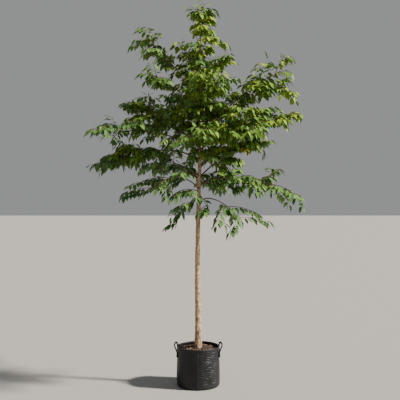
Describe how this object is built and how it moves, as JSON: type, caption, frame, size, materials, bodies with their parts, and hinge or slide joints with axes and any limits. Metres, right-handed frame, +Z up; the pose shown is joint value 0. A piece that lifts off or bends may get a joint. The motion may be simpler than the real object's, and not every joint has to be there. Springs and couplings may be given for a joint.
{
  "type": "young standard tree in a fabric root bag",
  "caption": "Young standard tree in full leaf, standing on its root ball in a black fabric bag with webbing handles: a bare straight stem under an open crown of drooping leaves.",
  "frame": {"origin": "on the ground, at the middle of the bag's flat underside", "axes": "+Z up along the trunk, +X to the right of the side that the picture shows, +Y away from the viewer"},
  "size_m": [1.9327, 1.4937, 3.32],
  "materials": {
    "bark": "finely fissured tan and grey-brown bark",
    "branch_bark": "smooth reddish-brown young bark",
    "leaves": "satin, deep green",
    "young_leaves": "satin, yellow-green",
    "bag_fabric": "matt black felted fabric",
    "webbing": "matt black woven webbing",
    "potting_soil": "bark chips and fine compost"
  },
  "bodies": {
    "root": {"trunk": "bark", "bough_low_right": "branch_bark", "bough_front_left": "branch_bark", "bough_drooping_right": "branch_bark", "bough_back_left": "branch_bark", "bough_low_left": "branch_bark", "bough_back_low": "branch_bark", "bough_right": "branch_bark", "bough_left": "branch_bark", "bough_front_low": "branch_bark", "bough_left_middle": "branch_bark", "bough_front_right": "branch_bark", "bough_left_high": "branch_bark", "bough_back_right": "branch_bark", "bough_right_high": "branch_bark", "bough_back_high": "branch_bark", "bough_front_high": "branch_bark", "bough_upper_left": "branch_bark", "bough_top_left": "branch_bark", "bough_right_lower": "branch_bark", "bough_right_middle": "branch_bark", "foliage_low_right": "leaves", "foliage_front_left": "young_leaves", "foliage_drooping_right": "leaves", "foliage_back_left": "leaves", "foliage_low_left": "young_leaves", "foliage_back_low": "leaves", "foliage_right": "leaves", "foliage_left": "young_leaves", "foliage_front_low": "leaves", "foliage_left_middle": "leaves", "foliage_front_right": "young_leaves", "foliage_left_high": "leaves", "foliage_back_right": "leaves", "foliage_right_high": "young_leaves", "foliage_back_high": "leaves", "foliage_front_high": "leaves", "foliage_upper_left": "young_leaves", "foliage_top_left": "leaves", "foliage_right_lower": "leaves", "foliage_right_middle": "young_leaves", "foliage_foot_left": "leaves", "foliage_foot_front": "leaves", "foliage_low_front_left": "young_leaves", "foliage_low_back": "leaves", "foliage_middle_left": "leaves", "foliage_middle_right": "young_leaves", "foliage_upper_right": "leaves", "foliage_upper_front": "leaves", "foliage_upper_back": "young_leaves", "foliage_spur_right": "leaves", "foliage_leader_left": "leaves", "foliage_top_front": "young_leaves", "foliage_top_right": "leaves", "foliage_top_back": "leaves", "foliage_leader": "young_leaves", "root_bag": "bag_fabric", "root_ball": "potting_soil", "handle_left": "webbing", "handle_right": "webbing"}
  },
  "joints": []
}
